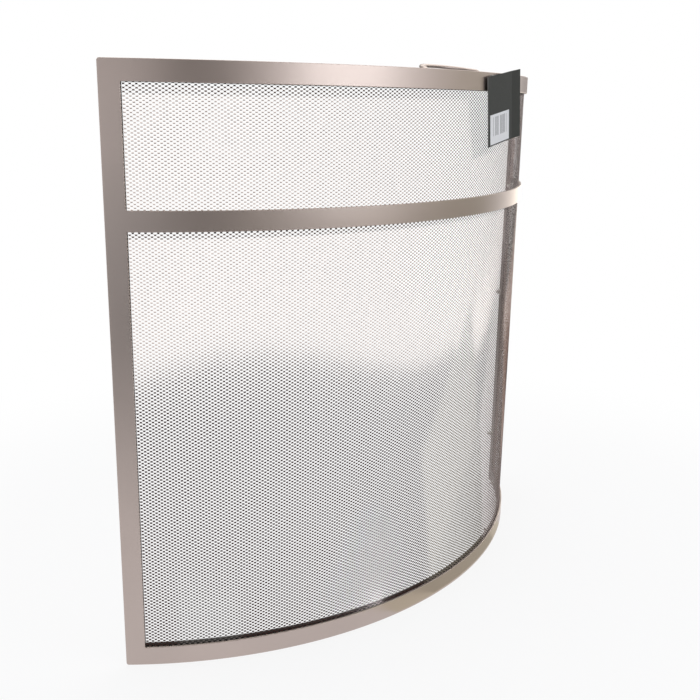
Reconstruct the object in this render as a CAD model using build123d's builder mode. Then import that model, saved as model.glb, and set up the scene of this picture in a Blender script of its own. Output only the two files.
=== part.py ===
"""Bowed fireplace screen: rolled flat-bar frame, curved mesh panel held by back strips, and rod handle.

Millimetres, +Z up, the bow towards -Y. The origin is on the floor, under the middle of the overall box.
Angles along the bow are in degrees from its middle, positive to the right as seen from the front.
"""

import os
from math import asin, cos, degrees, radians, sin, sqrt, tan

from build123d import *

os.makedirs("parts", exist_ok=True)

# Overall size of the frame
screen_width = 696.0
screen_height = 610.0
bow_depth = 150.0

# Flat bars of the frame
bar_width = 20.0
bar_thickness = 3.0
middle_rail_base = 455.0
corner_radius = 2.5
edge_ease = 0.5

# Mesh panel: the real diamonds are about 6 x 3.6 mm, and stand in here at a coarse pitch
mesh_thickness = 1.2
mesh_inset = 4.0
mesh_columns = 10
mesh_rows = 13
mesh_strand = 6.0

# Back strips that clamp the mesh to the bars
strip_thickness = 1.5
strip_inset = 3.0
strip_lip = 0.3
bottom_strip_reveal = 3.0
middle_strip_tuck = 1.0

# Weld studs, washers and nuts
stud_diameter = 4.0
stud_length = 10.0
stud_clearance = 0.5
washer_diameter = 9.0
washer_thickness = 0.8
washer_clearance = 0.15
nut_flats = 7.0
nut_height = 3.2
nut_chamfer = 0.4
thread_clearance = 0.05
rail_stud_end_gap = 50.0
side_stud_end_gap = 60.0
bottom_stud_count = 5
middle_stud_count = 4
side_stud_count = 3

# Rod handle behind the top rail
handle_rod = 4.0
handle_span = 98.0
handle_crown = 60.0
handle_reach = 28.0
handle_tilt = 9.0
handle_crown_radius = 44.0
handle_bend_radius = 6.0
handle_eye_diameter = 12.0
handle_eye_thickness = 2.0
handle_neck_width = 5.0
handle_neck_rise = 8.0
handle_rod_gap = 0.5

# Folded card on the front of the top rail, with its label panel and adhesive pad
card_front_width = 66.0
card_side_width = 19.5
card_height = 76.5
card_thickness = 0.5
card_fold = 6.0
card_turn = 7.9
card_angle = 9.0
card_shift = 10.9
card_drop = 39.0
label_width = 51.5
label_height = 33.0
label_side_margin = 5.5
label_bottom_margin = 1.5
label_thickness = 0.2
pad_width = 30.0
pad_height = 14.0
pad_thickness = 2.0

# Radii of the layers, from the front of the bars to the back of the strips
bar_radius = ((screen_width / 2) ** 2 + bow_depth**2) / (2 * bow_depth)
mesh_radius = bar_radius - bar_thickness
strip_radius = mesh_radius - mesh_thickness
strip_back_radius = strip_radius - strip_thickness

# Angles from the middle of the bow to the ends of each layer
frame_end = degrees(asin(screen_width / 2 / bar_radius))
stile_inner = frame_end - degrees(bar_width / bar_radius)
stile_middle = (frame_end + stile_inner) / 2
mesh_end = frame_end - degrees(mesh_inset / bar_radius)
strip_end = frame_end - degrees(strip_inset / bar_radius)
side_strip_inner = stile_inner - degrees(strip_lip / bar_radius)

# Heights of the bars and strips
top_rail_base = screen_height - bar_width
middle_rail_top = middle_rail_base + bar_width
top_strip_base = top_rail_base - strip_lip
top_strip_top = screen_height - strip_inset
bottom_strip_top = bar_width + bottom_strip_reveal
middle_strip_base = middle_rail_base + middle_strip_tuck
middle_strip_top = middle_rail_top - middle_strip_tuck

# Depth of the whole box, measured from the bow's centre line, puts the origin at the middle of the box
stud_tip_radius = mesh_radius - stud_length
card_back_radius = bar_radius + pad_thickness
card_lean = card_front_width / 2 * cos(radians(card_turn)) + card_height / 2 * sin(radians(card_turn))
card_front_reach = (card_back_radius + card_thickness) * cos(radians(card_angle))
front_reach = max(bar_radius, card_front_reach + (card_lean - card_shift) * sin(radians(card_angle)))
back_reach = min(
    mesh_radius * cos(radians(frame_end)),
    strip_back_radius * cos(radians(strip_end)),
    stud_tip_radius * cos(radians(stile_middle)) - stud_diameter / 2 * sin(radians(stile_middle)),
)
bow_centre = (front_reach + back_reach) / 2


def on_bow(radius, angle, height):
    """Point at a radius and an angle of the bow."""
    return Vector(radius * sin(radians(angle)), bow_centre - radius * cos(radians(angle)), height)


def facing_in(radius, angle, height):
    """Upright plane across the bow's radius, looking at the bow's centre line."""
    level = (-cos(radians(angle)), -sin(radians(angle)), 0)
    inward = (-sin(radians(angle)), cos(radians(angle)), 0)
    return Plane(on_bow(radius, angle, height), x_dir=level, z_dir=inward)


def seat(radius, half_width):
    """Radius at which a flat face of that half width rests inside a curved wall."""
    return sqrt(radius**2 - half_width**2)


def spread(low, high, count):
    """Evenly spaced values from low to high."""
    return [low + (high - low) * step / (count - 1) for step in range(count)]


def band(outer_radius, thickness, first, last, base):
    """Outline of a bowed bar seen from above, lying at the height of its base."""
    with BuildSketch(Plane.XY.offset(base)) as outline:
        with BuildLine():
            front = CenterArc((0, bow_centre), outer_radius, first - 90, last - first)
            back = CenterArc((0, bow_centre), outer_radius - thickness, first - 90, last - first)
            Line(front @ 0, back @ 0)
            Line(front @ 1, back @ 1)
        make_face()
    return outline.sketch


def keep(part, name):
    """Label a finished piece and write it out."""
    part.label = name
    export_step(part, f"parts/{name}.step")


# Frame bars: the top and bottom rails run right through, the stiles and the middle rail butt between them
def end_corners(rail):
    """Short edges across the thickness at the ends of a rail."""
    return rail.edges().filter_by(GeomType.LINE).filter_by(Plane.XY).group_by(SortBy.LENGTH)[0]


with BuildPart() as top_rail:
    extrude(band(bar_radius, bar_thickness, -frame_end, frame_end, top_rail_base), amount=bar_width)
    fillet(end_corners(top_rail).group_by(Axis.Z)[-1], corner_radius)
    fillet(top_rail.edges(), edge_ease)
keep(top_rail.part, "top_rail")

with BuildPart() as bottom_rail:
    extrude(band(bar_radius, bar_thickness, -frame_end, frame_end, 0), amount=bar_width)
    fillet(end_corners(bottom_rail).group_by(Axis.Z)[0], corner_radius)
    fillet(bottom_rail.edges(), edge_ease)
keep(bottom_rail.part, "bottom_rail")

with BuildPart() as middle_rail:
    extrude(band(bar_radius, bar_thickness, -stile_inner, stile_inner, middle_rail_base), amount=bar_width)
    fillet(middle_rail.edges().filter_by(GeomType.CIRCLE), edge_ease)
keep(middle_rail.part, "middle_rail")

for side, first, last in (("left", -frame_end, -stile_inner), ("right", stile_inner, frame_end)):
    with BuildPart() as stile:
        extrude(band(bar_radius, bar_thickness, first, last, bar_width), amount=top_rail_base - bar_width)
        fillet(stile.edges().filter_by(Axis.Z), edge_ease)
    keep(stile.part, f"{side}_stile")


# Weld studs on the back of each bar, as angle and height along the bow
rail_stud_end = frame_end - degrees(rail_stud_end_gap / bar_radius)
handle_leg_radius = strip_back_radius - handle_rod / 2
handle_angle = degrees(asin(handle_span / 2 / handle_leg_radius))
top_stud_height = (top_strip_base + top_strip_top) / 2
bottom_stud_height = (strip_inset + bottom_strip_top) / 2
middle_stud_height = middle_rail_base + bar_width / 2
side_stud_low = bar_width + side_stud_end_gap
side_stud_high = top_rail_base - side_stud_end_gap
handle_studs = [(side * handle_angle, top_stud_height) for side in (-1, 1)]
top_outer_angles = spread(handle_angle, rail_stud_end, 3)[1:]
top_outer_studs = [(side * angle, top_stud_height) for side in (-1, 1) for angle in top_outer_angles]
side_heights = spread(side_stud_low, side_stud_high, side_stud_count)
studs_of = {
    "top": top_outer_studs + handle_studs,
    "middle": [(a, middle_stud_height) for a in spread(-rail_stud_end, rail_stud_end, middle_stud_count)],
    "bottom": [(a, bottom_stud_height) for a in spread(-rail_stud_end, rail_stud_end, bottom_stud_count)],
    "left": [(-stile_middle, height) for height in side_heights],
    "right": [(stile_middle, height) for height in side_heights],
}
all_studs = [place for places in studs_of.values() for place in places]
stud_hole_radius = stud_diameter / 2 + stud_clearance


def at_studs(radius, places):
    """Planes across the studs at one radius, for the pieces that go over them."""
    return [facing_in(radius, angle, height) for angle, height in places]


# Mesh panel: one curved sheet with a plain border behind the bars and staggered diamonds between them
window_height = top_rail_base - bar_width
diamond_angle = 2 * stile_inner / mesh_columns
diamond_length = mesh_radius * radians(diamond_angle)
diamond_height = window_height / mesh_rows
strand_share = mesh_strand * sqrt(diamond_length**2 + diamond_height**2) / (diamond_length * diamond_height)
opening = 1 - strand_share


def diamond(column, row):
    """Corners of one opening on the front view, its middle at a column and a row, cut off at the window."""
    middle = -stile_inner + column * diamond_angle
    reach = opening * diamond_angle / 2
    left = max(middle - reach, -stile_inner)
    right = min(middle + reach, stile_inner)
    left_x, middle_x, right_x = [mesh_radius * sin(radians(angle)) for angle in (left, middle, right)]
    height = bar_width + row * diamond_height
    rise = opening * diamond_height / 2
    low = max(height - rise, bar_width)
    high = min(height + rise, top_rail_base)
    corners = [(left_x, height), (middle_x, low), (right_x, height), (middle_x, high)]
    return list(dict.fromkeys(corners))


edge_places = [(column, row) for column in range(mesh_columns + 1) for row in range(mesh_rows + 1)]
between_places = [(column + 0.5, row + 0.5) for column in range(mesh_columns) for row in range(mesh_rows)]

with BuildPart() as mesh_panel:
    sheet = band(mesh_radius, mesh_thickness, -mesh_end, mesh_end, mesh_inset)
    extrude(sheet, amount=screen_height - 2 * mesh_inset)
    with Locations(*at_studs(mesh_radius, all_studs)):
        Hole(stud_hole_radius, depth=stud_length)
    with BuildSketch(Plane.XZ.offset(front_reach)):
        add([Polygon(diamond(*place), mode=Mode.PRIVATE) for place in edge_places + between_places])
    extrude(amount=-2 * front_reach, mode=Mode.SUBTRACT)
keep(mesh_panel.part, "mesh_panel")

# Back strips, butted like the bars
strip_spans = {
    "top": (-strip_end, strip_end, top_strip_base, top_strip_top),
    "middle": (-side_strip_inner, side_strip_inner, middle_strip_base, middle_strip_top),
    "bottom": (-strip_end, strip_end, strip_inset, bottom_strip_top),
    "left": (-strip_end, -side_strip_inner, bottom_strip_top, top_strip_base),
    "right": (side_strip_inner, strip_end, bottom_strip_top, top_strip_base),
}
for place, (first, last, base, top) in strip_spans.items():
    with BuildPart() as mesh_strip:
        extrude(band(strip_radius, strip_thickness, first, last, base), amount=top - base)
        with Locations(*at_studs(strip_radius, studs_of[place])):
            Hole(stud_hole_radius, depth=stud_length)
    keep(mesh_strip.part, f"{place}_mesh_strip")

# Studs, washers and nuts: the two at the handle sit on its eyes instead of on the strip
washer_seat = seat(strip_back_radius, washer_diameter / 2)
eye_seat = seat(strip_back_radius, handle_eye_diameter / 2)
eye_back_radius = eye_seat - handle_eye_thickness

with BuildPart() as washer:
    with BuildSketch():
        Circle(washer_diameter / 2)
        Circle(stud_diameter / 2 + washer_clearance, mode=Mode.SUBTRACT)
    extrude(amount=washer_thickness)

with BuildPart() as nut:
    with BuildSketch():
        RegularPolygon(nut_flats / 2, 6, major_radius=False)
        Circle(stud_diameter / 2 + thread_clearance, mode=Mode.SUBTRACT)
    extrude(amount=nut_height)
    chamfer(nut.faces().sort_by(Axis.Z)[-1].outer_wire().edges(), nut_chamfer)

for place, places in studs_of.items():
    with BuildPart() as studs:
        with Locations(*at_studs(seat(mesh_radius, stud_diameter / 2), places)):
            Cylinder(stud_diameter / 2, stud_length, align=(Align.CENTER, Align.CENTER, Align.MIN))
    keep(studs.part, f"{place}_studs")

    on_strip = [stud for stud in places if stud not in handle_studs]
    on_eyes = [stud for stud in places if stud in handle_studs]
    with BuildPart() as washers:
        with Locations(*at_studs(washer_seat, on_strip), *at_studs(eye_back_radius, on_eyes)):
            add(washer.part)
    keep(washers.part, f"{place}_washers")

    nut_seats = at_studs(washer_seat - washer_thickness, on_strip)
    eye_nut_seats = at_studs(eye_back_radius - washer_thickness, on_eyes)
    with BuildPart() as nuts:
        with Locations(*nut_seats, *eye_nut_seats):
            add(nut.part)
    keep(nuts.part, f"{place}_nuts")

# Handle: a bent rod whose flattened eyes are clamped under two nuts of the top rail
rod_end_height = top_stud_height + washer_diameter / 2 + handle_rod_gap
left_foot = on_bow(handle_leg_radius, -handle_angle, rod_end_height)
left_bend = on_bow(handle_leg_radius, -handle_angle, screen_height)
crown_y = left_bend.Y + handle_reach * cos(radians(handle_tilt))
crown_height = screen_height + handle_reach * sin(radians(handle_tilt))
left_crown = Vector(-handle_crown / 2, crown_y, crown_height)
left_points = [left_foot, left_bend, left_crown]
right_points = [Vector(-point.X, point.Y, point.Z) for point in reversed(left_points)]
bend_radii = [handle_bend_radius, handle_crown_radius]

with BuildPart() as handle_loop:
    with BuildLine() as rod_line:
        FilletPolyline(*left_points, *right_points, radius=bend_radii + bend_radii[::-1])
    with BuildSketch(Plane(rod_line.line @ 0, z_dir=rod_line.line % 0)):
        Circle(handle_rod / 2)
    sweep()
    for angle, height in handle_studs:
        with BuildSketch(facing_in(eye_seat, angle, height)):
            Circle(handle_eye_diameter / 2)
            Rectangle(handle_neck_width, handle_neck_rise, align=(Align.CENTER, Align.MIN))
            Circle(stud_hole_radius, mode=Mode.SUBTRACT)
        extrude(amount=handle_eye_thickness)
keep(handle_loop.part, "handle_loop")

# Card: two flat panels joined at an upright fold, turned a little in its own plane
card_out = Vector(sin(radians(card_angle)), -cos(radians(card_angle)), 0)
card_level = Vector(cos(radians(card_angle)), sin(radians(card_angle)), 0)
card_across = card_level * cos(radians(card_turn)) + Vector(0, 0, 1) * sin(radians(card_turn))
card_up = card_out.cross(card_across)
card_middle = on_bow(card_back_radius, card_angle, screen_height - card_drop) + card_level * card_shift
fold_cos = cos(radians(card_fold))
fold_sin = sin(radians(card_fold))
fold_x = card_front_width / 2
side_end = Vector(fold_x + card_side_width * fold_cos, -card_side_width * fold_sin)

with BuildPart() as tag_card:
    with BuildSketch(Plane(card_middle - card_up * card_height / 2, x_dir=card_across, z_dir=card_up)):
        with BuildLine():
            Polyline(
                (-fold_x, 0),
                (fold_x, 0),
                side_end,
                side_end + Vector(-fold_sin, -fold_cos) * card_thickness,
                (fold_x - card_thickness * tan(radians(card_fold / 2)), -card_thickness),
                (-fold_x, -card_thickness),
                close=True,
            )
        make_face()
    extrude(amount=card_height)
keep(tag_card.part, "tag_card")

with BuildPart() as tag_label:
    with BuildSketch(Plane(card_middle + card_out * card_thickness, x_dir=card_across, z_dir=card_out)):
        with Locations((label_side_margin - fold_x, label_bottom_margin - card_height / 2)):
            Rectangle(label_width, label_height, align=(Align.MIN, Align.MIN))
    extrude(amount=label_thickness)
keep(tag_label.part, "tag_label")

with BuildPart() as tag_pad:
    pad_middle = on_bow(card_back_radius, card_angle, top_rail_base + bar_width / 2)
    with BuildSketch(Plane(pad_middle, x_dir=card_level, z_dir=card_out)):
        Rectangle(pad_width, pad_height)
    extrude(amount=-2 * pad_thickness)
    with Locations((0, bow_centre, top_rail_base)):
        Cylinder(bar_radius, bar_width, align=(Align.CENTER, Align.CENTER, Align.MIN), mode=Mode.SUBTRACT)
keep(tag_pad.part, "tag_pad")
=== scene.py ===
"""Looks of a bowed fireplace screen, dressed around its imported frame.

Metres, +Z up, the bow towards -Y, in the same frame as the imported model.
Angles along the bow are in radians from its middle, positive to the right as seen from the front.
"""

from math import asin, cos, pi, radians, sin, sqrt, tan

import bmesh
import bpy
from bpy.props import FloatProperty, FloatVectorProperty, IntProperty, PointerProperty
from mathutils import Matrix, Vector


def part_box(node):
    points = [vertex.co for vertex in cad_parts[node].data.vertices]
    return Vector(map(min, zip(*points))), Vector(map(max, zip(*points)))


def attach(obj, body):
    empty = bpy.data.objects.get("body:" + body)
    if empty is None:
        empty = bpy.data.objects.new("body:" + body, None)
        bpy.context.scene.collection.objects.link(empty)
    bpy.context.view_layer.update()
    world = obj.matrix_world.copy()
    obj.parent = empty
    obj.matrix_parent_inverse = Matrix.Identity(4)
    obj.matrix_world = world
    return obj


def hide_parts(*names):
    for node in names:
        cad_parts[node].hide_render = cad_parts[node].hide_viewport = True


bl_info = {
    "name": "Bowed fireplace screen",
    "version": (1, 0, 0),
    "blender": (4, 5, 0),
    "location": "3D View > Sidebar > Fire screen",
    "description": "Dresses a bowed fireplace screen with bars, expanded mesh, fixings, handle and card",
    "category": "Object",
}

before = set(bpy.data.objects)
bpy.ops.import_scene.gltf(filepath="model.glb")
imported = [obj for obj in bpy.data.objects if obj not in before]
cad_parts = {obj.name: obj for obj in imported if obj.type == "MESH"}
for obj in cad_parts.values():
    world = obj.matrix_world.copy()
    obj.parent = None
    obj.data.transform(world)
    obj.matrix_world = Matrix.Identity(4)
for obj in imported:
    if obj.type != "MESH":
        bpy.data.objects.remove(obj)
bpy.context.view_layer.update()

BODY = "root"
UP = Vector((0, 0, 1))
NEAR = 1e-6
NOISE_RANGE = (0.3, 0.7)
SKIN_DEPTH = 0.00005
PLATE_SIDES = 32
STUD_SIDES = 18
ROD_SIDES = 20
BEND_STEPS = 16
FLAG_STEPS = 24
DISC_SIDES = 64


# Settings that a user would change
class ScreenSizes(bpy.types.PropertyGroup):
    """Sizes of the frame's bars and of the strips behind them"""

    screen_width: FloatProperty(
        name="Screen width", description="Straight width between the ends of the bow",
        default=0.696, unit="LENGTH",
    )
    bow_depth: FloatProperty(
        name="Bow depth", description="How far the bow stands out", default=0.150, unit="LENGTH"
    )
    bar_width: FloatProperty(
        name="Bar width", description="Width of the flat bars", default=0.020, unit="LENGTH"
    )
    bar_thickness: FloatProperty(
        name="Bar thickness", description="Thickness of the flat bars", default=0.003, unit="LENGTH"
    )
    bar_steps: IntProperty(
        name="Bar steps", description="Straight steps along a rail between the stiles", default=120, min=8
    )
    corner_radius: FloatProperty(
        name="Corner radius", description="Rounding of the frame's outer corners",
        default=0.0025, unit="LENGTH",
    )
    edge_ease: FloatProperty(
        name="Edge ease", description="Rounding of the bars' edges", default=0.0005, unit="LENGTH"
    )
    strip_thickness: FloatProperty(
        name="Strip thickness", description="Thickness of the strips that clamp the mesh",
        default=0.0015, unit="LENGTH",
    )
    strip_inset: FloatProperty(
        name="Strip inset", description="Gap from the frame's ends to the strips",
        default=0.003, unit="LENGTH",
    )
    strip_lip: FloatProperty(
        name="Strip lip", description="How far a side strip shows past its stile",
        default=0.0003, unit="LENGTH",
    )


class MeshSizes(bpy.types.PropertyGroup):
    """Sizes of the expanded-metal mesh"""

    sheet_thickness: FloatProperty(
        name="Sheet thickness", description="Overall thickness of the raised mesh",
        default=0.0012, unit="LENGTH",
    )
    inset: FloatProperty(
        name="Inset", description="Gap from the frame's ends to the mesh", default=0.004, unit="LENGTH"
    )
    columns: IntProperty(
        name="Columns", description="Diamonds along the bow", default=131, min=2
    )
    rows_in_band: IntProperty(
        name="Rows in a band", description="Diamond rows in one band", default=21, min=1
    )
    bands: IntProperty(
        name="Bands", description="Bands that make up the height", default=8, min=1
    )
    bond_height: FloatProperty(
        name="Bond height", description="Height of a strand where it joins the next",
        default=0.00076, unit="LENGTH",
    )
    bond_length: FloatProperty(
        name="Bond length", description="Length over which two strands join", default=0.0017, unit="LENGTH"
    )
    waist: FloatProperty(
        name="Waist", description="Size of a strand between bonds, as a share of a bond",
        default=0.12, min=0.1, max=1,
    )
    bond_overlap: FloatProperty(
        name="Bond overlap", description="How far two strands run into each other",
        default=0.0001, unit="LENGTH",
    )
    strand_depth: FloatProperty(
        name="Strand depth", description="How far a strand's ridge stands out", default=0.0006, unit="LENGTH"
    )
    ridge_slope: FloatProperty(
        name="Ridge slope", description="Upward slope that the light finds on the strands",
        default=radians(36), subtype="ANGLE",
    )


class FixingSizes(bpy.types.PropertyGroup):
    """Sizes of the studs, washers and nuts behind the bars"""

    stud_diameter: FloatProperty(
        name="Stud diameter", description="Outside of the thread", default=0.004, unit="LENGTH"
    )
    stud_length: FloatProperty(
        name="Stud length", description="From the back of the bar to the tip", default=0.010, unit="LENGTH"
    )
    thread_pitch: FloatProperty(
        name="Thread pitch", description="Distance between two crests", default=0.0007, unit="LENGTH"
    )
    thread_depth: FloatProperty(
        name="Thread depth", description="Depth of the thread", default=0.0004, unit="LENGTH"
    )
    washer_diameter: FloatProperty(
        name="Washer diameter", description="Outside of a washer", default=0.009, unit="LENGTH"
    )
    washer_thickness: FloatProperty(
        name="Washer thickness", description="Thickness of a washer", default=0.0008, unit="LENGTH"
    )
    nut_flats: FloatProperty(
        name="Nut flats", description="Width of a nut across its flats", default=0.007, unit="LENGTH"
    )
    nut_height: FloatProperty(
        name="Nut height", description="Height of a nut", default=0.0032, unit="LENGTH"
    )
    nut_chamfer: FloatProperty(
        name="Nut chamfer", description="Chamfer round the top of a nut", default=0.0004, unit="LENGTH"
    )
    hole_clearance: FloatProperty(
        name="Hole clearance", description="Gap between a stud and what goes over it",
        default=0.00005, unit="LENGTH",
    )
    rail_end_gap: FloatProperty(
        name="Rail end gap", description="From a rail's end to its last stud", default=0.050, unit="LENGTH"
    )
    side_end_gap: FloatProperty(
        name="Side end gap", description="From a stile's end to its last stud", default=0.060, unit="LENGTH"
    )
    middle_count: IntProperty(
        name="Middle studs", description="Studs along the middle rail", default=4, min=2
    )
    bottom_count: IntProperty(
        name="Bottom studs", description="Studs along the bottom rail", default=5, min=2
    )
    side_count: IntProperty(name="Side studs", description="Studs along each stile", default=3, min=2)


class HandleSizes(bpy.types.PropertyGroup):
    """Sizes of the rod handle behind the top rail"""

    rod: FloatProperty(name="Rod", description="Diameter of the rod", default=0.004, unit="LENGTH")
    span: FloatProperty(name="Span", description="Distance between the legs", default=0.098, unit="LENGTH")
    crown: FloatProperty(
        name="Crown", description="Length of the crown between its corners", default=0.060, unit="LENGTH"
    )
    reach: FloatProperty(
        name="Reach", description="From the rail to the crown", default=0.028, unit="LENGTH"
    )
    tilt: FloatProperty(
        name="Tilt", description="Rise of the handle", default=radians(9.0), subtype="ANGLE"
    )
    crown_radius: FloatProperty(
        name="Crown radius", description="Bend at the crown's corners", default=0.044, unit="LENGTH"
    )
    bend_radius: FloatProperty(
        name="Bend radius", description="Bend at the top of each leg", default=0.006, unit="LENGTH"
    )
    eye_diameter: FloatProperty(
        name="Eye diameter", description="Flattened eye at each foot", default=0.012, unit="LENGTH"
    )
    eye_thickness: FloatProperty(
        name="Eye thickness", description="Thickness of the eyes", default=0.002, unit="LENGTH"
    )
    eye_hole: FloatProperty(
        name="Eye hole", description="Hole for the stud", default=0.005, unit="LENGTH"
    )
    neck_width: FloatProperty(
        name="Neck width", description="Width of the neck above an eye", default=0.005, unit="LENGTH"
    )
    neck_rise: FloatProperty(
        name="Neck rise", description="Height of the neck from the middle of its eye",
        default=0.008, unit="LENGTH",
    )
    rod_gap: FloatProperty(
        name="Rod gap", description="From a washer's rim to the end of the rod",
        default=0.0005, unit="LENGTH",
    )


class CardSizes(bpy.types.PropertyGroup):
    """Place of the folded card and print on its label"""

    angle: FloatProperty(
        name="Angle", description="Angle along the bow that the card faces",
        default=radians(9.0), subtype="ANGLE",
    )
    turn: FloatProperty(
        name="Turn", description="Turn of the card in its own plane", default=radians(7.9), subtype="ANGLE"
    )
    bar_module: FloatProperty(
        name="Bar module", description="Width of the narrowest printed bar", default=0.0007, unit="LENGTH"
    )
    bars_width: FloatProperty(
        name="Bars width", description="Width of the block of printed bars", default=0.038, unit="LENGTH"
    )
    bars_low: FloatProperty(
        name="Bars low", description="Bottom of the bars from the label's middle",
        default=-0.0075, unit="LENGTH",
    )
    bars_high: FloatProperty(
        name="Bars high", description="Top of the bars from the label's middle",
        default=0.0135, unit="LENGTH",
    )


class ScreenFinishes(bpy.types.PropertyGroup):
    """Colours of the finishes"""

    pewter: FloatVectorProperty(
        name="Pewter", description="Satin plating of the frame", default=(0.51, 0.43, 0.40), subtype="COLOR"
    )
    mesh_steel: FloatVectorProperty(
        name="Mesh steel", description="Darkened steel of the mesh",
        default=(0.475, 0.42, 0.41), subtype="COLOR",
    )
    mesh_glint: FloatVectorProperty(
        name="Mesh glint", description="Tint of the mesh where it is seen edge-on",
        default=(0.18, 0.155, 0.15), subtype="COLOR",
    )
    strip_paint: FloatVectorProperty(
        name="Strip paint", description="Paint of the clamp strips",
        default=(0.03, 0.03, 0.028), subtype="COLOR",
    )
    zinc: FloatVectorProperty(
        name="Zinc", description="Plating of the fixings", default=(0.62, 0.62, 0.60), subtype="COLOR"
    )
    board: FloatVectorProperty(
        name="Board", description="Coated face of the card", default=(0.032, 0.034, 0.032), subtype="COLOR"
    )
    board_core: FloatVectorProperty(
        name="Board core", description="Cut edges of the card", default=(0.35, 0.35, 0.34), subtype="COLOR"
    )
    paper: FloatVectorProperty(
        name="Paper", description="Label panel on the card", default=(0.80, 0.80, 0.82), subtype="COLOR"
    )
    ink: FloatVectorProperty(
        name="Ink", description="Printed bars on the label", default=(0.16, 0.16, 0.17), subtype="COLOR"
    )
    foam: FloatVectorProperty(
        name="Foam", description="Adhesive pad behind the card", default=(0.50, 0.50, 0.48), subtype="COLOR"
    )


class StageSettings(bpy.types.PropertyGroup):
    """Camera, lamps and floor"""

    camera_place: FloatVectorProperty(
        name="Camera", description="Where the camera stands",
        default=(-0.84631, -0.66521, 0.57424), unit="LENGTH",
    )
    camera_yaw: FloatProperty(
        name="Yaw", description="View direction, from +Y to +X", default=radians(48.875), subtype="ANGLE"
    )
    camera_pitch: FloatProperty(
        name="Pitch", description="View direction below level", default=radians(14.816), subtype="ANGLE"
    )
    camera_roll: FloatProperty(
        name="Roll", description="Turn about the view direction", default=radians(0.993), subtype="ANGLE"
    )
    camera_lens: FloatProperty(name="Lens", description="Focal length in millimetres", default=47.96)
    lamp_aim: FloatProperty(
        name="Lamp aim", description="Height that the standing lamps face", default=0.35, unit="LENGTH"
    )
    fill_strength: FloatProperty(
        name="Fill", description="Even light from all round", default=0.55, min=0
    )
    floor_size: FloatProperty(
        name="Floor size", description="From the screen to the floor's edges", default=30, unit="LENGTH"
    )
    floor_colour: FloatVectorProperty(
        name="Floor colour", description="Pale floor", default=(0.86, 0.86, 0.88), subtype="COLOR"
    )
    fill_colour: FloatVectorProperty(
        name="Fill colour", description="Light from all round", default=(0.97, 0.98, 1.0), subtype="COLOR"
    )
    floor_shade: FloatProperty(
        name="Floor shade", description="Share of the floor's own shading that shows",
        default=0.14, min=0, max=1,
    )
    shadow_reach: FloatProperty(
        name="Shadow reach", description="Distance at which the floor turns plain white",
        default=1.0, unit="LENGTH",
    )


# Shape of the bow, shared by the pieces
class Bow:
    """Radii and angles of the screen's layers."""

    def __init__(self):
        scene = bpy.context.scene
        sizes = scene.screen_sizes
        half_width = sizes.screen_width / 2
        self.radius = (half_width**2 + sizes.bow_depth**2) / (2 * sizes.bow_depth)
        self.centre = Vector((0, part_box("top_rail")[0].y + self.radius, 0))
        self.mesh_radius = self.radius - sizes.bar_thickness
        self.strip_radius = self.mesh_radius - scene.mesh_sizes.sheet_thickness
        self.back_radius = self.strip_radius - sizes.strip_thickness
        self.end = asin(half_width / self.radius)
        self.inner = self.end - sizes.bar_width / self.radius
        self.mesh_end = self.end - scene.mesh_sizes.inset / self.radius
        self.strip_end = self.end - sizes.strip_inset / self.radius
        self.strip_inner = self.inner - sizes.strip_lip / self.radius

    def point(self, radius, angle, height):
        """Point at a radius and an angle of the bow."""
        return self.centre + Vector((radius * sin(angle), -radius * cos(angle), height))

    def facing_in(self, radius, angle, height):
        """Matrix of an upright plane across the bow's radius, looking at the bow's centre line."""
        level = Vector((-cos(angle), -sin(angle), 0))
        inward = Vector((-sin(angle), cos(angle), 0))
        turned = Matrix((level, inward.cross(level), inward)).transposed()
        return Matrix.Translation(self.point(radius, angle, height)) @ turned.to_4x4()

    def seat(self, radius, half_width):
        """Radius at which a flat face of that half width rests inside a curved wall."""
        return sqrt(radius**2 - half_width**2)

    def sweep(self, bm, section, angle, steps):
        """Sweep a section along the bow, and return the section at its far end."""
        return sweep(bm, section, self.centre, UP, angle, steps)


def sweep(bm, section, centre, axis, angle, steps, shift=(0, 0, 0)):
    """Carry a section round a bend or on by a shift, and return the section at its far end."""
    swept = bmesh.ops.spin(
        bm, geom=section, cent=centre, axis=axis, angle=angle, steps=steps, dvec=shift, use_duplicate=False
    )
    return swept["geom_last"]


# Materials
def new_finish(name):
    """A material with its node tree and its shader."""
    material = bpy.data.materials.new(name)
    material.use_nodes = True
    return material, material.node_tree, material.node_tree.nodes["Principled BSDF"]


def add_node(tree, kind, **settings):
    """Add a node, with its properties or its named inputs set."""
    made = tree.nodes.new(kind)
    for name, value in settings.items():
        if hasattr(made, name):
            setattr(made, name, value)
        else:
            made.inputs[name.replace("_", " ").title()].default_value = value
    return made


def feed(tree, inputs, *values):
    """Give each of a node's inputs a socket's value or a constant."""
    for socket, value in zip(inputs, values):
        if isinstance(value, bpy.types.NodeSocket):
            tree.links.new(value, socket)
        else:
            socket.default_value = value


def sums(tree, operation, first, second=0.0):
    """Result of one sum on two sockets or numbers."""
    made = add_node(tree, "ShaderNodeMath", operation=operation)
    feed(tree, made.inputs, first, second)
    return made.outputs["Value"]


def vector_sums(tree, operation, *vectors, result="Vector"):
    """Result of one sum on vectors."""
    made = add_node(tree, "ShaderNodeVectorMath", operation=operation)
    feed(tree, made.inputs, *vectors)
    return made.outputs[result]


def own_place(tree):
    """Place on the object's own coordinates."""
    return add_node(tree, "ShaderNodeTexCoord").outputs["Object"]


def facing(tree, direction):
    """How far a face looks along a direction, from -1 to 1."""
    outside = add_node(tree, "ShaderNodeNewGeometry").outputs["True Normal"]
    return vector_sums(tree, "DOT_PRODUCT", outside, direction, result="Value")


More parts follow.
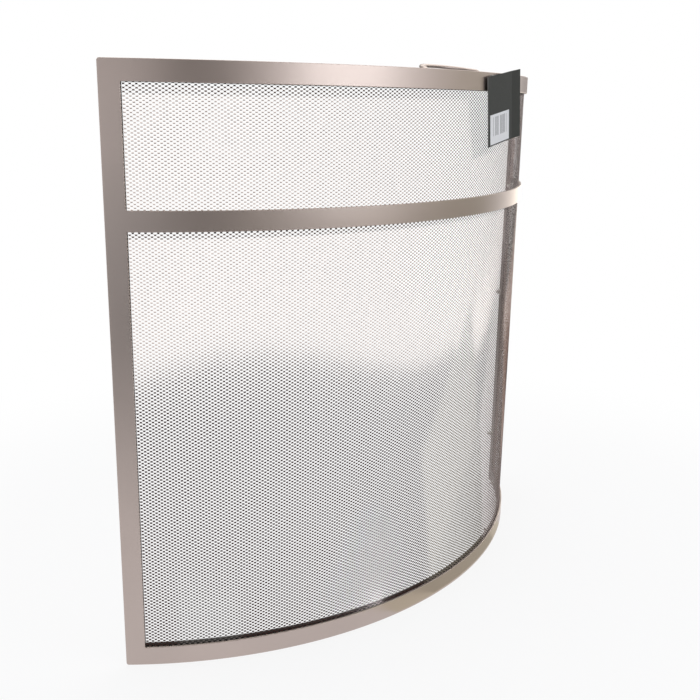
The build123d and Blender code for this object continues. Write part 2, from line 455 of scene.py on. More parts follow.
def grain(tree, stretch, detail=3.0):
    """Noise on the object's own coordinates, with its own scale on each axis."""
    mapped = add_node(tree, "ShaderNodeMapping", Scale=stretch)
    noise = add_node(tree, "ShaderNodeTexNoise", Scale=1.0, Detail=detail, Roughness=0.55)
    tree.links.new(own_place(tree), mapped.inputs["Vector"])
    tree.links.new(mapped.outputs["Vector"], noise.inputs["Vector"])
    return noise.outputs["Fac"]


def graded(tree, factor, low, high, ends=NOISE_RANGE, **settings):
    """A value that goes from low to high as a factor goes from one end to the other."""
    made = add_node(tree, "ShaderNodeMapRange", **settings)
    feed(tree, made.inputs, factor, *ends, low, high)
    return made.outputs["Result"]


def shade(tree, shader, factor, colour, low, high):
    """Let the base colour's brightness follow a factor, and return it."""
    ramp = add_node(tree, "ShaderNodeValToRGB")
    for stop, position, level in zip(ramp.color_ramp.elements, NOISE_RANGE, (low, high)):
        stop.position = position
        stop.color = (*[level * part for part in colour], 1)
    tree.links.new(factor, ramp.inputs["Fac"])
    tree.links.new(ramp.outputs["Color"], shader.inputs["Base Color"])
    return ramp.outputs["Color"]


def bump(tree, shader, factor, strength, depth):
    """Let the surface follow a factor by a small depth."""
    raised = add_node(tree, "ShaderNodeBump", Strength=strength, Distance=depth)
    tree.links.new(factor, raised.inputs["Height"])
    tree.links.new(raised.outputs["Normal"], shader.inputs["Normal"])


def satin_pewter(name):
    """Satin plating with a very fine tooth and a faint cloudy variation."""
    material, tree, shader = new_finish(name)
    shader.inputs["Metallic"].default_value = 1.0
    cloud = grain(tree, (9, 9, 9), 2.0)
    tooth = grain(tree, (1800, 1800, 1800), 2.0)
    shade(tree, shader, cloud, bpy.context.scene.screen_finishes.pewter, 0.96, 1.04)
    tree.links.new(graded(tree, tooth, 0.33, 0.41), shader.inputs["Roughness"])
    bump(tree, shader, tooth, 0.06, SKIN_DEPTH)
    return material


def dark_steel(bow):
    """Darkened steel of the mesh, a little uneven, with the slope of its ridged strands in the normal."""
    material, tree, shader = new_finish("dark_steel")
    scene = bpy.context.scene
    shader.inputs["Metallic"].default_value = 1.0
    patches = grain(tree, (180, 180, 180))
    shade(tree, shader, patches, scene.screen_finishes.mesh_steel, 0.85, 1.15)
    tree.links.new(graded(tree, patches, 0.08, 0.12), shader.inputs["Roughness"])
    shader.inputs["Specular Tint"].default_value = (*scene.screen_finishes.mesh_glint, 1)
    from_centre = vector_sums(tree, "SUBTRACT", own_place(tree), bow.centre)
    outward = vector_sums(tree, "NORMALIZE", vector_sums(tree, "MULTIPLY", from_centre, (1, 1, 0)))
    side = sums(tree, "SIGN", facing(tree, outward))
    slope = (0, 0, tan(scene.mesh_sizes.ridge_slope))
    sloped = vector_sums(tree, "MULTIPLY_ADD", outward, side, slope)
    tree.links.new(vector_sums(tree, "NORMALIZE", sloped), shader.inputs["Normal"])
    return material


def strip_paint():
    """Satin black paint with a light orange peel."""
    material, tree, shader = new_finish("strip_paint")
    peel = grain(tree, (900, 900, 900))
    shade(tree, shader, peel, bpy.context.scene.screen_finishes.strip_paint, 0.8, 1.2)
    tree.links.new(graded(tree, peel, 0.36, 0.48), shader.inputs["Roughness"])
    bump(tree, shader, peel, 0.15, SKIN_DEPTH)
    return material


def zinc_plate():
    """Zinc plating with its mottled spangle."""
    material, tree, shader = new_finish("zinc_plate")
    shader.inputs["Metallic"].default_value = 1.0
    mottle = grain(tree, (1400, 1400, 1400))
    shade(tree, shader, mottle, bpy.context.scene.screen_finishes.zinc, 0.8, 1.05)
    tree.links.new(graded(tree, mottle, 0.25, 0.45), shader.inputs["Roughness"])
    return material


# Shared steps of the pieces
def place_object(name, data):
    """A new object in the scene."""
    made = bpy.data.objects.new(name, data)
    bpy.context.scene.collection.objects.link(made)
    return made


def mesh_object(bm, name, material):
    """Turn a bmesh into an object of one material."""
    mesh = bpy.data.meshes.new(name)
    bm.to_mesh(mesh)
    bm.free()
    mesh.materials.append(material)
    return place_object(name, mesh)


def finish_piece(bm, name, material, slot, *nodes):
    """Turn a bmesh into a piece that rides on the screen and stands for its nodes."""
    made = mesh_object(bm, name, material)
    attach(made, BODY)
    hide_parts(*nodes)
    return made


def sharp_edges(bm, least=radians(35)):
    """Edges where two faces meet at an angle."""
    return [edge for edge in bm.edges if edge.is_manifold and edge.calc_face_angle() > least]


def round_edges(bm, edges, radius, segments):
    """Round some edges over."""
    bmesh.ops.bevel(
        bm, geom=edges, offset=radius, offset_type="OFFSET", affect="EDGES",
        segments=segments, profile=0.5, material=-1, clamp_overlap=True,
    )


def smooth_shading(bm):
    """Shade faces smooth, apart from the edges that stay sharp."""
    for face in bm.faces:
        face.smooth = True
    for edge in sharp_edges(bm):
        edge.smooth = False


def even_normals(made):
    """Keep broad faces flat next to their rounded edges."""
    weights = made.modifiers.new("even_normals", "WEIGHTED_NORMAL")
    weights.keep_sharp = True


def add_copies(whole, shape, places):
    """Add a copy of a shape to a bmesh at each place."""
    template = bpy.data.meshes.new("template")
    shape.to_mesh(template)
    count = len(shape.verts)
    shape.free()
    for place in places:
        whole.from_mesh(template)
        whole.verts.ensure_lookup_table()
        bmesh.ops.transform(whole, matrix=place, verts=whole.verts[-count:])
    bpy.data.meshes.remove(template)


def of_kind(kind, geometry):
    """The items of one kind, such as the faces, in some geometry."""
    return [item for item in geometry if isinstance(item, kind)]


def pierced_plate(bm, hole, sides, height):
    """Close a bmesh's one outline round a hole and raise it to a plate."""
    outline = bm.edges[:]
    inner = bmesh.ops.create_circle(bm, segments=sides, radius=hole)["verts"]
    inner_edges = list({edge for vert in inner for edge in vert.link_edges})
    bmesh.ops.bridge_loops(bm, edges=outline + inner_edges)
    raised = bmesh.ops.extrude_face_region(bm, geom=bm.faces[:])["geom"]
    bmesh.ops.translate(bm, vec=(0, 0, height), verts=of_kind(bmesh.types.BMVert, raised))
    bmesh.ops.recalc_face_normals(bm, faces=bm.faces)


def node_heights(node):
    """Lowest and highest point of a node."""
    return tuple(corner.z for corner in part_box(node))


def middle_height(node):
    """Height of the middle of a node."""
    return sum(node_heights(node)) / 2


def spread(low, high, count):
    """Evenly spaced values from low to high."""
    return [low + (high - low) * step / (count - 1) for step in range(count)]


def bowed_bar(bow, outer, thickness, span, low, high):
    """A bar of rectangular section along the bow."""
    first, last = span
    bm = bmesh.new()
    corners = ((outer, low), (outer, high), (outer - thickness, high), (outer - thickness, low))
    bm.faces.new([bm.verts.new(bow.point(radius, first, height)) for radius, height in corners])
    steps = max(2, round(bpy.context.scene.screen_sizes.bar_steps * (last - first) / (2 * bow.inner)))
    bow.sweep(bm, bm.verts[:] + bm.edges[:] + bm.faces[:], last - first, steps)
    bmesh.ops.recalc_face_normals(bm, faces=bm.faces)
    return bm


class SCREEN_OT_welded_frame(bpy.types.Operator):
    """Model the rails and stiles as rolled flat bars, welded and ground flush into one frame"""

    bl_idname = "fire_screen.welded_frame"
    bl_label = "Welded frame"

    def execute(self, context):
        bow = Bow()
        sizes = context.scene.screen_sizes
        rails = [node_heights(node) for node in ("bottom_rail", "middle_rail", "top_rail")]
        levels = [height for rail in rails for height in rail]
        bm = self.left_half(bow, sizes, rails, levels)
        bmesh.ops.mirror(bm, geom=bm.verts[:] + bm.edges[:] + bm.faces[:], axis="X", merge_dist=NEAR)
        bmesh.ops.recalc_face_normals(bm, faces=bm.faces)
        corners = [edge for edge in sharp_edges(bm) if self.is_outer_corner(edge, bow, levels)]
        round_edges(bm, corners, sizes.corner_radius, 5)
        round_edges(bm, sharp_edges(bm), sizes.edge_ease, 3)
        smooth_shading(bm)
        bars = ("bottom_rail", "middle_rail", "top_rail", "left_stile", "right_stile")
        even_normals(finish_piece(bm, "welded_frame", satin_pewter("satin_pewter"), "frame_metal", *bars))
        return {"FINISHED"}

    def left_half(self, bow, sizes, rails, levels):
        """The left stile, swept as one upright section, and the rails swept on from it to the middle."""
        bm = bmesh.new()
        inside = bow.radius - sizes.bar_thickness
        pairs = [[bm.verts.new(bow.point(r, -bow.end, z)) for r in (bow.radius, inside)] for z in levels]
        for low, high in zip(pairs, pairs[1:]):
            bm.faces.new((*low, *reversed(high)))
        section = bow.sweep(bm, bm.verts[:] + bm.edges[:] + bm.faces[:], bow.end - bow.inner, 3)
        middles = [(low + high) / 2 for low, high in rails]
        rail_ends = [
            face for face in of_kind(bmesh.types.BMFace, section)
            if any(abs(face.calc_center_median().z - middle) < sizes.bar_width / 4 for middle in middles)
        ]
        geometry = {item for face in rail_ends for item in (*face.verts, *face.edges, face)}
        section = bow.sweep(bm, list(geometry), bow.inner, sizes.bar_steps // 2)
        bmesh.ops.delete(bm, geom=of_kind(bmesh.types.BMFace, section), context="FACES_ONLY")
        return bm

    def is_outer_corner(self, edge, bow, levels):
        """Whether an edge crosses the bar's thickness at an outer corner of the frame."""
        inner, outer = sorted((vert.co - bow.centre).xy.length for vert in edge.verts)
        low, high = sorted(vert.co.z for vert in edge.verts)
        is_level = high - low < NEAR
        at_end = min(abs(low - levels[0]), abs(low - levels[-1])) < NEAR
        return is_level and at_end and outer - inner > NEAR


class SCREEN_OT_expanded_mesh(bpy.types.Operator):
    """Model the mesh as expanded metal: ridged zigzag strands that join at bonds"""

    bl_idname = "fire_screen.expanded_mesh"
    bl_label = "Expanded mesh"

    def execute(self, context):
        bow = Bow()
        sizes = context.scene.mesh_sizes
        low, high = node_heights("mesh_panel")
        row_pitch = (high - low) / (sizes.bands * sizes.rows_in_band)
        steel = dark_steel(bow)
        row = self.diamond_row(bow, sizes, low, row_pitch)
        for band in range(sizes.bands):
            bm = row.copy()
            bmesh.ops.translate(bm, vec=(0, 0, band * sizes.rows_in_band * row_pitch), verts=bm.verts)
            made = finish_piece(bm, f"mesh_band_{band + 1}", steel, "mesh_metal", "mesh_panel")
            rows = made.modifiers.new("rows", "ARRAY")
            rows.count = sizes.rows_in_band
            rows.use_relative_offset = False
            rows.use_constant_offset = True
            rows.constant_offset_displace = (0, 0, row_pitch)
        row.free()
        return {"FINISHED"}

    def diamond_row(self, bow, sizes, base, row_pitch):
        """Two neighbouring strands, which close one row of diamonds."""
        bm = bmesh.new()
        first = base + sizes.bond_height / 2
        self.strand(bm, bow, sizes, first, row_pitch / 2, lifted=3)
        self.strand(bm, bow, sizes, first + row_pitch / 2, row_pitch / 2, lifted=0)
        bmesh.ops.recalc_face_normals(bm, faces=bm.faces)
        return bm

    def strand(self, bm, bow, sizes, height, pitch, lifted):
        """One strand: its rings go bond, bond, waist, and every second bond is lifted to the next strand."""
        before = len(bm.verts)
        half = sizes.bond_height / 2
        back = bow.mesh_radius - (sizes.sheet_thickness + sizes.strand_depth) / 2
        corners = ((0, -half), (0, half), (sizes.strand_depth, -half))
        section = [bm.verts.new(bow.point(back + out, -bow.mesh_end, height + up)) for out, up in corners]
        face = bm.faces.new(section)
        bow.sweep(bm, section + list(face.edges) + [face], 2 * bow.mesh_end, 6 * sizes.columns)
        bm.verts.ensure_lookup_table()
        verts = bm.verts[before:]
        rings = [verts[at:at + len(corners)] for at in range(0, len(verts), len(corners))]
        step = bow.mesh_end / (3 * sizes.columns)
        for ends, way in ((rings[0::3], -1), (rings[1::3], 1)):
            turned = Matrix.Rotation(way * (sizes.bond_length / back - step) / 2, 3, "Z")
            bmesh.ops.rotate(
                bm, cent=bow.centre, matrix=turned, verts=[vert for ring in ends for vert in ring]
            )
        waists = [vert for ring in rings[2::3] for vert in ring]
        tops = [vert for first in (lifted, lifted + 1) for ring in rings[first::6] for vert in ring]
        rise = pitch - sizes.bond_height + sizes.bond_overlap
        bmesh.ops.scale(bm, vec=(1, 1, sizes.waist), space=Matrix.Translation((0, 0, -height)), verts=waists)
        bmesh.ops.translate(bm, vec=(0, 0, rise / 2), verts=waists)
        ridges = [ring[2] for ring in rings[2::3]]
        inward = (back + sizes.waist * sizes.strand_depth) / (back + sizes.strand_depth)
        bmesh.ops.scale(bm, vec=(inward, inward, 1), space=Matrix.Translation(-bow.centre), verts=ridges)
        bmesh.ops.translate(bm, vec=(0, 0, rise), verts=tops)


class SCREEN_OT_clamp_strips(bpy.types.Operator):
    """Model the painted strips that clamp the mesh to the backs of the bars"""

    bl_idname = "fire_screen.clamp_strips"
    bl_label = "Clamp strips"

    def execute(self, context):
        bow = Bow()
        sizes = context.scene.screen_sizes
        paint = strip_paint()
        spans = {
            "top": (-bow.strip_end, bow.strip_end),
            "middle": (-bow.strip_inner, bow.strip_inner),
            "bottom": (-bow.strip_end, bow.strip_end),
            "left": (-bow.strip_end, -bow.strip_inner),
            "right": (bow.strip_inner, bow.strip_end),
        }
        for place, span in spans.items():
            node = f"{place}_mesh_strip"
            low, high = node_heights(node)
            bm = bowed_bar(bow, bow.strip_radius, sizes.strip_thickness, span, low, high)
            round_edges(bm, sharp_edges(bm), sizes.edge_ease / 2, 2)
            smooth_shading(bm)
            even_normals(finish_piece(bm, f"{place}_strip", paint, "strip_black", node))
        return {"FINISHED"}


class SCREEN_OT_fixings(bpy.types.Operator):
    """Model the threaded studs, washers and nuts that hold the strips and the handle"""

    bl_idname = "fire_screen.fixings"
    bl_label = "Studs, washers and nuts"

    def execute(self, context):
        bow = Bow()
        sizes = context.scene.fixing_sizes
        handle = context.scene.handle_sizes
        zinc = zinc_plate()
        eye_back = bow.seat(bow.back_radius, handle.eye_diameter / 2) - handle.eye_thickness
        washer_seat = bow.seat(bow.back_radius, sizes.washer_diameter / 2)
        stud_seat = bow.seat(bow.mesh_radius, sizes.stud_diameter / 2)
        for place, studs in self.places(bow, sizes, handle).items():
            washer_radii = [eye_back if on_eye else washer_seat for angle, height, on_eye in studs]
            at = [(angle, height) for angle, height, on_eye in studs]
            stud_places = [bow.facing_in(stud_seat, *where) for where in at]
            washer_places = [bow.facing_in(radius, *where) for radius, where in zip(washer_radii, at)]
            lift = Matrix.Translation((0, 0, sizes.washer_thickness))
            nut_places = [washer_place @ lift for washer_place in washer_places]
            for kind, shape, spots in (
                ("studs", self.stud(sizes), stud_places),
                ("washers", self.washer(sizes), washer_places),
                ("nuts", self.nut(sizes), nut_places),
            ):
                smooth_shading(shape)
                bm = bmesh.new()
                add_copies(bm, shape, spots)
                node = f"{place}_{kind}"
                even_normals(finish_piece(bm, f"{node}_set", zinc, "zinc_steel", node))
        return {"FINISHED"}

    def places(self, bow, sizes, handle):
        """Angle and height of each stud, and whether it carries an eye of the handle."""
        rail_end = bow.end - sizes.rail_end_gap / bow.radius
        leg = asin(handle.span / 2 / (bow.back_radius - handle.rod / 2))
        top = middle_height("top_mesh_strip")
        outer = spread(leg, rail_end, 3)[1:]
        stile_low, stile_high = node_heights("left_stile")
        heights = spread(
            stile_low + sizes.side_end_gap, stile_high - sizes.side_end_gap, sizes.side_count
        )
        side = (bow.end + bow.inner) / 2
        middle = middle_height("middle_rail")
        bottom = middle_height("bottom_mesh_strip")
        return {
            "top": [(way * angle, top, False) for way in (-1, 1) for angle in outer]
            + [(way * leg, top, True) for way in (-1, 1)],
            "middle": [(angle, middle, False) for angle in spread(-rail_end, rail_end, sizes.middle_count)],
            "bottom": [(angle, bottom, False) for angle in spread(-rail_end, rail_end, sizes.bottom_count)],
            "left": [(-side, height, False) for height in heights],
            "right": [(side, height, False) for height in heights],
        }

    def stud(self, sizes):
        """A stud whose thread is a row of ridges from its foot to its tip."""
        bm = bmesh.new()
        crest = sizes.stud_diameter / 2
        root = crest - sizes.thread_depth
        turns = int(sizes.stud_length / sizes.thread_pitch)
        profile = [(0, 0), (root, 0)]
        for turn in range(turns):
            profile.append((crest, (turn + 0.5) * sizes.thread_pitch))
            profile.append((root, (turn + 1) * sizes.thread_pitch))
        profile += [(root * 0.8, sizes.stud_length), (0, sizes.stud_length)]
        line = [bm.verts.new((out, 0, up)) for out, up in profile]
        edges = [bm.edges.new(pair) for pair in zip(line, line[1:])]
        bmesh.ops.spin(
            bm, geom=line + edges, cent=(0, 0, 0), axis=UP, angle=2 * pi, steps=STUD_SIDES, use_merge=True
        )
        bmesh.ops.remove_doubles(bm, verts=bm.verts, dist=NEAR)
        bmesh.ops.recalc_face_normals(bm, faces=bm.faces)
        return bm

    def washer(self, sizes):
        """A flat washer with eased rims."""
        bm = bmesh.new()
        bmesh.ops.create_circle(bm, segments=PLATE_SIDES, radius=sizes.washer_diameter / 2)
        hole = sizes.stud_diameter / 2 + sizes.hole_clearance
        pierced_plate(bm, hole, PLATE_SIDES, sizes.washer_thickness)
        round_edges(bm, sharp_edges(bm), sizes.washer_thickness / 6, 2)
        return bm

    def nut(self, sizes):
        """A hexagon nut with a chamfer round its top."""
        bm = bmesh.new()
        bmesh.ops.create_circle(bm, segments=6, radius=sizes.nut_flats / sqrt(3))
        bmesh.ops.subdivide_edges(bm, edges=bm.edges[:], cuts=3)
        hole = sizes.stud_diameter / 2 + sizes.hole_clearance
        pierced_plate(bm, hole, len(bm.verts), sizes.nut_height)
        rim_radius = sizes.nut_flats / 2 - NEAR
        rim = [
            edge for edge in sharp_edges(bm)
            if all(vert.co.z > NEAR and vert.co.xy.length > rim_radius for vert in edge.verts)
        ]
        round_edges(bm, rim, sizes.nut_chamfer, 2)
        return bm


class SCREEN_OT_handle(bpy.types.Operator):
    """Model the lifting handle: a bent rod with a flattened eye at each foot"""

    bl_idname = "fire_screen.handle"
    bl_label = "Handle"

    def execute(self, context):
        bow = Bow()
        sizes = context.scene.handle_sizes
        fixings = context.scene.fixing_sizes
        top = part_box("top_rail")[1].z
        leg_radius = bow.back_radius - sizes.rod / 2
        leg = asin(sizes.span / 2 / leg_radius)
        stud_height = middle_height("top_mesh_strip")
        foot_height = stud_height + fixings.washer_diameter / 2 + sizes.rod_gap
        foot = bow.point(leg_radius, -leg, foot_height)
        bend = bow.point(leg_radius, -leg, top)
        crown_y = bend.y + sizes.reach * cos(sizes.tilt)
        crown = Vector((-sizes.crown / 2, crown_y, top + sizes.reach * sin(sizes.tilt)))
        points = [foot, bend, crown]
        points += [Vector((-point.x, point.y, point.z)) for point in reversed(points)]
        radii = [sizes.bend_radius, sizes.crown_radius, sizes.crown_radius, sizes.bend_radius]
        bm = self.bent_rod(points, radii, sizes.rod / 2)
        eye_seat = bow.seat(bow.back_radius, sizes.eye_diameter / 2)
        for way in (-1, 1):
            self.eye(bm, sizes, bow.facing_in(eye_seat, way * leg, stud_height))
        bmesh.ops.recalc_face_normals(bm, faces=bm.faces)
        smooth_shading(bm)
        material = satin_pewter("pewter_rod")
        even_normals(finish_piece(bm, "handle_rod", material, "handle_metal", "handle_loop"))
        return {"FINISHED"}

    def bent_rod(self, points, radii, rod_radius):
        """Sweep a round section along straight runs and the bends between them."""
        bm = bmesh.new()
        here = points[0]
        turned = (points[1] - here).to_track_quat("Z", "Y").to_matrix().to_4x4()
        placed = Matrix.Translation(here) @ turned
        bmesh.ops.create_circle(bm, cap_ends=True, segments=ROD_SIDES, radius=rod_radius, matrix=placed)
        section = bm.verts[:] + bm.edges[:] + bm.faces[:]
        for before, corner, after, radius in zip(points, points[1:], points[2:], radii):
            way_in = (corner - before).normalized()
            way_out = (after - corner).normalized()
            turn = way_in.angle(way_out)
            axis = way_in.cross(way_out).normalized()
            reach = radius * tan(turn / 2)
            start = corner - way_in * reach
            section = sweep(bm, section, here, axis, 0, 1, start - here)
            section = sweep(bm, section, start + axis.cross(way_in) * radius, axis, turn, BEND_STEPS)
            here = corner + way_out * reach
        sweep(bm, section, here, UP, 0, 1, points[-1] - here)
        return bm

    def eye(self, bm, sizes, place):
        """A flattened eye with its hole, and the neck that joins it to the rod."""
        shape = bmesh.new()
        bmesh.ops.create_circle(shape, segments=PLATE_SIDES, radius=sizes.eye_diameter / 2)
        pierced_plate(shape, sizes.eye_hole / 2, PLATE_SIDES, sizes.eye_thickness)
        neck_low = sizes.eye_diameter / 2 - sizes.neck_width / 4
        neck_middle = (0, (neck_low + sizes.neck_rise) / 2, sizes.eye_thickness / 2)
        neck_size = (sizes.neck_width, sizes.neck_rise - neck_low, sizes.eye_thickness, 1)
        bmesh.ops.create_cube(
            shape, size=1, matrix=Matrix.Translation(neck_middle) @ Matrix.Diagonal(neck_size)
        )
        round_edges(shape, sharp_edges(shape), sizes.eye_thickness / 6, 2)
        add_copies(bm, shape, [place])


class SCREEN_OT_card(bpy.types.Operator):
    """Finish the folded card, its label panel and its adhesive pad"""

    bl_idname = "fire_screen.card"
    bl_label = "Card"

    def execute(self, context):
        finishes = context.scene.screen_finishes
        sizes = context.scene.card_sizes
        out = Vector((sin(sizes.angle), -cos(sizes.angle), 0))
        level = Vector((cos(sizes.angle), sin(sizes.angle), 0))
        across = level * cos(sizes.turn) + UP * sin(sizes.turn)
        turned = Matrix((across, -out, out.cross(across))).transposed()
        self.dress("tag_card", self.coated_board(finishes, across))
        self.dress("tag_label", self.label_paper(finishes, sizes, turned))
        self.dress("tag_pad", self.foam(finishes))
        return {"FINISHED"}

    def dress(self, node, material):
        """Give a node of the frame its material."""
        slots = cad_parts[node].data.materials
        slots.clear()
        slots.append(material)

    def coated_board(self, finishes, across):
        """Dark coated board with a faint fibre and paler cut edges."""
        material, tree, shader = new_finish("coated_board")
        shader.inputs["Specular IOR Level"].default_value = 0.2
        fibre = grain(tree, (900, 900, 350))
        coat = shade(tree, shader, fibre, finishes.board, 0.85, 1.15)
        tree.links.new(graded(tree, fibre, 0.45, 0.6), shader.inputs["Roughness"])
        bump(tree, shader, fibre, 0.1, SKIN_DEPTH)
        is_cut = sums(tree, "GREATER_THAN", sums(tree, "ABSOLUTE", facing(tree, across)), 0.7)
        self.mix(tree, shader, is_cut, coat, finishes.board_core)
        return material

    def mix(self, tree, shader, factor, below, above):
        """Lay a plain colour over a base where a factor is 1."""
        mixed = add_node(tree, "ShaderNodeMixRGB")
        mixed.inputs["Color2"].default_value = (*above, 1)
        tree.links.new(factor, mixed.inputs["Fac"])
        tree.links.new(below, mixed.inputs["Color1"])
        tree.links.new(mixed.outputs["Color"], shader.inputs["Base Color"])

    def label_paper(self, finishes, sizes, turned):
        """Pale paper with a block of plain upright bars of no meaning."""
        material, tree, shader = new_finish("label_paper")
        fibre = grain(tree, (1500, 1500, 1500))
        paper = shade(tree, shader, fibre, finishes.paper, 0.94, 1.04)
        tree.links.new(graded(tree, fibre, 0.6, 0.8), shader.inputs["Roughness"])
        low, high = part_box("tag_label")
        own = add_node(tree, "ShaderNodeMapping", vector_type="TEXTURE")
        feed(tree, own.inputs, own_place(tree), (low + high) / 2, turned.to_euler())
        split = add_node(tree, "ShaderNodeSeparateXYZ")
        tree.links.new(own.outputs["Vector"], split.inputs["Vector"])
        across, up = split.outputs["X"], split.outputs["Z"]
        column = sums(tree, "FLOOR", sums(tree, "DIVIDE", across, sizes.bar_module))
        chance = add_node(tree, "ShaderNodeTexWhiteNoise", noise_dimensions="1D")
        tree.links.new(column, chance.inputs["W"])
        inked = sums(tree, "GREATER_THAN", chance.outputs["Value"], 0.6)
        inside = sums(tree, "LESS_THAN", sums(tree, "ABSOLUTE", across), sizes.bars_width / 2)
        above = sums(tree, "GREATER_THAN", up, sizes.bars_low)
        below = sums(tree, "LESS_THAN", up, sizes.bars_high)
        block = sums(tree, "MULTIPLY", inside, sums(tree, "MULTIPLY", above, below))
        self.mix(tree, shader, sums(tree, "MULTIPLY", inked, block), paper, finishes.ink)
        return material

    def foam(self, finishes):
        """Open-cell adhesive foam."""
        material, tree, shader = new_finish("pad_foam")
        cells = grain(tree, (2500, 2500, 2500))
        shade(tree, shader, cells, finishes.foam, 0.7, 1.1)
        tree.links.new(graded(tree, cells, 0.75, 0.95), shader.inputs["Roughness"])
        bump(tree, shader, cells, 0.5, 0.0002)
        return material


class SCREEN_OT_stage(bpy.types.Operator):
    """Set out the pale floor, the studio light and the camera"""

    bl_idname = "fire_screen.stage"
    bl_label = "Stage"

    def execute(self, context):
        settings = context.scene.stage_settings
        context.scene.view_settings.view_transform = "Standard"
        self.floor(settings)
        self.world(settings)
        self.softbox("key_softbox", self.around(6.0, 1.7, 0.69), (1.07, 0.6), 1.8, (0.93, 0.97, 1.0))
        self.softbox("back_softbox", self.around(104, 1.6, 0.27), (0.6, 0.45), 1.75, (1.0, 0.94, 0.80))
        overhead = self.area_lamp("overhead_softbox", (0.10, 0.25, 2.0), (1.9, 1.0), 1.9)
        overhead.visible_glossy = False
        cool, plain, warm = (0.92, 0.98, 1.0), (1.0, 1.0, 0.96), (1.0, 0.98, 0.82)
        self.flag("left_flag", (-82, -56), ((1.1, 0.0), (1.1, 0.47)), (0.0, 0.66), cool)
        self.flag("front_left_flag", (-56, -34), ((1.1, 0.0), (1.1, 0.95)), (0.20, 0.23), plain)
        self.flag("front_flag", (-34, 8), ((1.1, 0.0), (1.1, 0.45)), (0.16, 0.24), warm)
        self.flag("front_right_flag", (8, 74), ((1.1, 0.0), (1.1, 0.44)), (0.34, 0.42), warm)
        self.flag("right_flag", (44, 72), ((1.12, 0.0), (1.12, 0.78)), (0.6, 0.56), warm)
        self.flag("back_flag", (114, 175), ((1.3, 0.0), (1.3, 1.2)), (0.0, 0.2), plain)
        self.flag("side_flag", (95, 116), ((1.3, 0.47), (1.3, 0.68)), (0.03, 0.03), plain)
        self.flag("low_side_flag", (99, 116), ((1.3, 0.0), (1.3, 0.2)), (0.02, 0.02), plain)
        self.disc("floor_flag", (0.10, -0.25, 0.002), 0.25, 0.80, warm)
        self.disc("floor_flag_core", (0.11, -0.25, 0.003), 0.21, 0.58, warm)
        self.disc("canopy", (0.0, 0.0, 3.1), 12.0, 0.09, (1.0, 0.52, 0.45))
        self.disc("overhead_panel", (3.1, 5.3, 3.0), 8.05, 1.75, plain)
        self.disc("overhead_wing", (5.83, 6.5, 3.02), 9.0, 2.6, plain)
        self.camera(settings)
        return {"FINISHED"}

    def seen_directly(self, tree):
        """Factor that is 1 for camera, glossy and transmission rays."""
        path = add_node(tree, "ShaderNodeLightPath").outputs
        seen = sums(tree, "MAXIMUM", path["Is Camera Ray"], path["Is Glossy Ray"])
        return sums(tree, "MAXIMUM", seen, path["Is Transmission Ray"])

    def floor(self, settings):
        """A wide pale floor that shows white, with a soft share of its own shading."""
        bm = bmesh.new()
        bmesh.ops.create_grid(bm, x_segments=1, y_segments=1, size=settings.floor_size)
        material, tree, shader = new_finish("pale_floor")
        shader.inputs["Base Color"].default_value = (*settings.floor_colour, 1)
        shader.inputs["Roughness"].default_value = 0.9
        shader.inputs["Specular IOR Level"].default_value = 0.0
        white = add_node(tree, "ShaderNodeEmission", Strength=1.0).outputs["Emission"]
        away = vector_sums(tree, "LENGTH", own_place(tree), result="Value")
        reach = (settings.shadow_reach / 2, settings.shadow_reach)
        plain = graded(tree, away, 1 - settings.floor_shade, 1.0, reach, interpolation_type="SMOOTHSTEP")
        share = sums(tree, "MULTIPLY", self.seen_directly(tree), plain)
        mixed = add_node(tree, "ShaderNodeMixShader")
        feed(tree, mixed.inputs, share, shader.outputs["BSDF"], white)
        tree.links.new(mixed.outputs["Shader"], tree.nodes["Material Output"].inputs["Surface"])
        mesh_object(bm, "floor", material)

    def world(self, settings):
        """An even fill light behind a white background."""
        world = bpy.data.worlds.new("studio")
        world.use_nodes = True
        tree = world.node_tree
        fill = tree.nodes["Background"]
        fill.inputs["Color"].default_value = (*settings.fill_colour, 1)
        fill.inputs["Strength"].default_value = settings.fill_strength
        white = add_node(tree, "ShaderNodeBackground", Color=(1, 1, 1, 1), Strength=1.0)
        mixed = add_node(tree, "ShaderNodeMixShader")
        backgrounds = [background.outputs["Background"] for background in (fill, white)]
        feed(tree, mixed.inputs, self.seen_directly(tree), *backgrounds)
        tree.links.new(mixed.outputs["Shader"], tree.nodes["World Output"].inputs["Surface"])
        bpy.context.scene.world = world

    def around(self, degrees_round, distance, height):
        """Point on the floor plan, at an angle from the front and a distance from the screen."""
        angle = radians(degrees_round)
        return Vector((distance * sin(angle), -distance * cos(angle), height))

    def area_lamp(self, name, place, size, radiance):
        """An area lamp that faces down; its radiance is a quarter of its watts per area."""
        lamp = bpy.data.lights.new(name, "AREA")
        lamp.shape = "RECTANGLE"
        lamp.size, lamp.size_y = size
        lamp.energy = 4 * radiance * lamp.size * lamp.size_y
        made = place_object(name, lamp)
        made.location = place
        return made

    def softbox(self, name, place, size, radiance, colour):
        """An area lamp that stands round the screen and faces its middle."""
        made = self.area_lamp(name, place, size, radiance)
        made.data.color = colour
        aim = UP * bpy.context.scene.stage_settings.lamp_aim - made.location
        made.rotation_euler = aim.to_track_quat("-Z", "Y").to_euler()

    def flag(self, name, span, ends, levels, colour):
        """A grey curved flag, graded from its low end to its high one, that only reflections see."""
        bm = bmesh.new()
        first, last = span
        verts = [bm.verts.new(self.around(first, distance, height)) for distance, height in ends]
        edge = bm.edges.new(verts)
        sweep(bm, [*verts, edge], (0, 0, 0), UP, radians(last - first), FLAG_STEPS)
        self.reflected_card(bm, name, (ends[0][1], ends[1][1]), levels, colour)

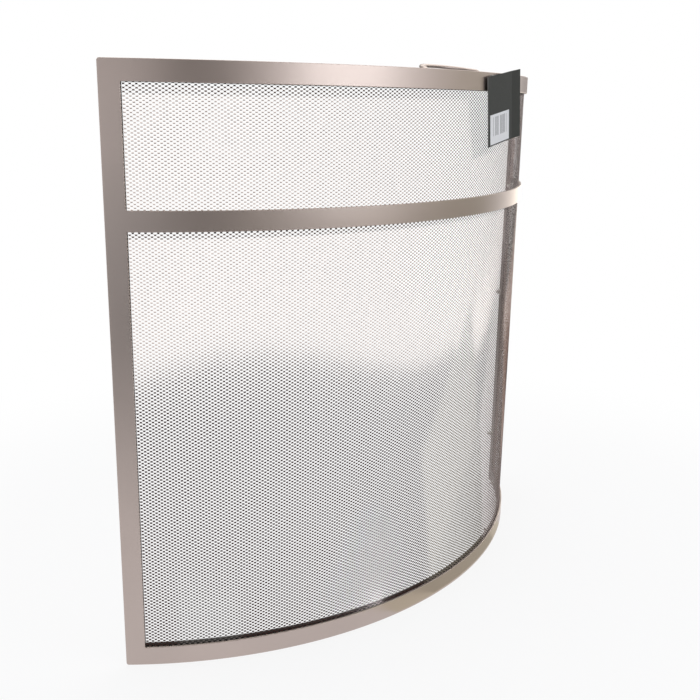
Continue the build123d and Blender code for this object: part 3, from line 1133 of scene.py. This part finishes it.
    def disc(self, name, place, radius, level, colour):
        """A level disc that only reflections see."""
        bm = bmesh.new()
        placed = Matrix.Translation(place)
        bmesh.ops.create_circle(bm, cap_ends=True, segments=DISC_SIDES, radius=radius, matrix=placed)
        self.reflected_card(bm, name, (place[2] - 1, place[2] + 1), (level, level), colour)

    def reflected_card(self, bm, name, heights, levels, colour):
        """A card that only reflections see, with its brightness graded from one height to another."""
        material, tree, shader = new_finish(name)
        split = add_node(tree, "ShaderNodeSeparateXYZ")
        glow = add_node(tree, "ShaderNodeEmission", Color=(*colour, 1))
        tree.links.new(own_place(tree), split.inputs["Vector"])
        tree.links.new(graded(tree, split.outputs["Z"], *levels, heights), glow.inputs["Strength"])
        tree.links.new(glow.outputs["Emission"], tree.nodes["Material Output"].inputs["Surface"])
        made = mesh_object(bm, name, material)
        made.visible_camera = False
        made.visible_diffuse = False
        made.visible_shadow = False
        made.visible_transmission = False

    def camera(self, settings):
        """A camera at the eye height and angle of someone standing to the left of the screen."""
        yaw, pitch, roll = settings.camera_yaw, settings.camera_pitch, settings.camera_roll
        forward = Vector((sin(yaw) * cos(pitch), cos(yaw) * cos(pitch), -sin(pitch)))
        level = Vector((cos(yaw), -sin(yaw), 0))
        upward = level.cross(forward)
        right = level * cos(roll) + upward * sin(roll)
        above = upward * cos(roll) - level * sin(roll)
        lens = bpy.data.cameras.new("camera")
        lens.lens = settings.camera_lens
        made = place_object("camera", lens)
        turned = Matrix((right, above, -forward)).transposed().to_4x4()
        made.matrix_world = Matrix.Translation(settings.camera_place) @ turned
        bpy.context.scene.camera = made


class SCREEN_PT_sidebar(bpy.types.Panel):
    """Steps that dress the screen"""

    bl_idname = "SCREEN_PT_sidebar"
    bl_label = "Fire screen"
    bl_space_type = "VIEW_3D"
    bl_region_type = "UI"
    bl_category = "Fire screen"

    def draw(self, context):
        for operator in OPERATORS:
            self.layout.operator(operator.bl_idname)


GROUPS = {
    "screen_sizes": ScreenSizes,
    "mesh_sizes": MeshSizes,
    "fixing_sizes": FixingSizes,
    "handle_sizes": HandleSizes,
    "card_sizes": CardSizes,
    "screen_finishes": ScreenFinishes,
    "stage_settings": StageSettings,
}
OPERATORS = (
    SCREEN_OT_welded_frame,
    SCREEN_OT_expanded_mesh,
    SCREEN_OT_clamp_strips,
    SCREEN_OT_fixings,
    SCREEN_OT_handle,
    SCREEN_OT_card,
    SCREEN_OT_stage,
)


def register():
    """Add the classes and their settings."""
    for kind in (*GROUPS.values(), *OPERATORS, SCREEN_PT_sidebar):
        bpy.utils.register_class(kind)
    for name, group in GROUPS.items():
        setattr(bpy.types.Scene, name, PointerProperty(type=group))


def unregister():
    """Remove the classes and their settings."""
    for name in GROUPS:
        delattr(bpy.types.Scene, name)
    for kind in (SCREEN_PT_sidebar, *reversed(OPERATORS), *reversed(GROUPS.values())):
        bpy.utils.unregister_class(kind)


def main():
    """Dress the screen."""
    register()
    bpy.ops.fire_screen.welded_frame()
    bpy.ops.fire_screen.expanded_mesh()
    bpy.ops.fire_screen.clamp_strips()
    bpy.ops.fire_screen.fixings()
    bpy.ops.fire_screen.handle()
    bpy.ops.fire_screen.card()
    bpy.ops.fire_screen.stage()


if __name__ == "__main__":
    main()
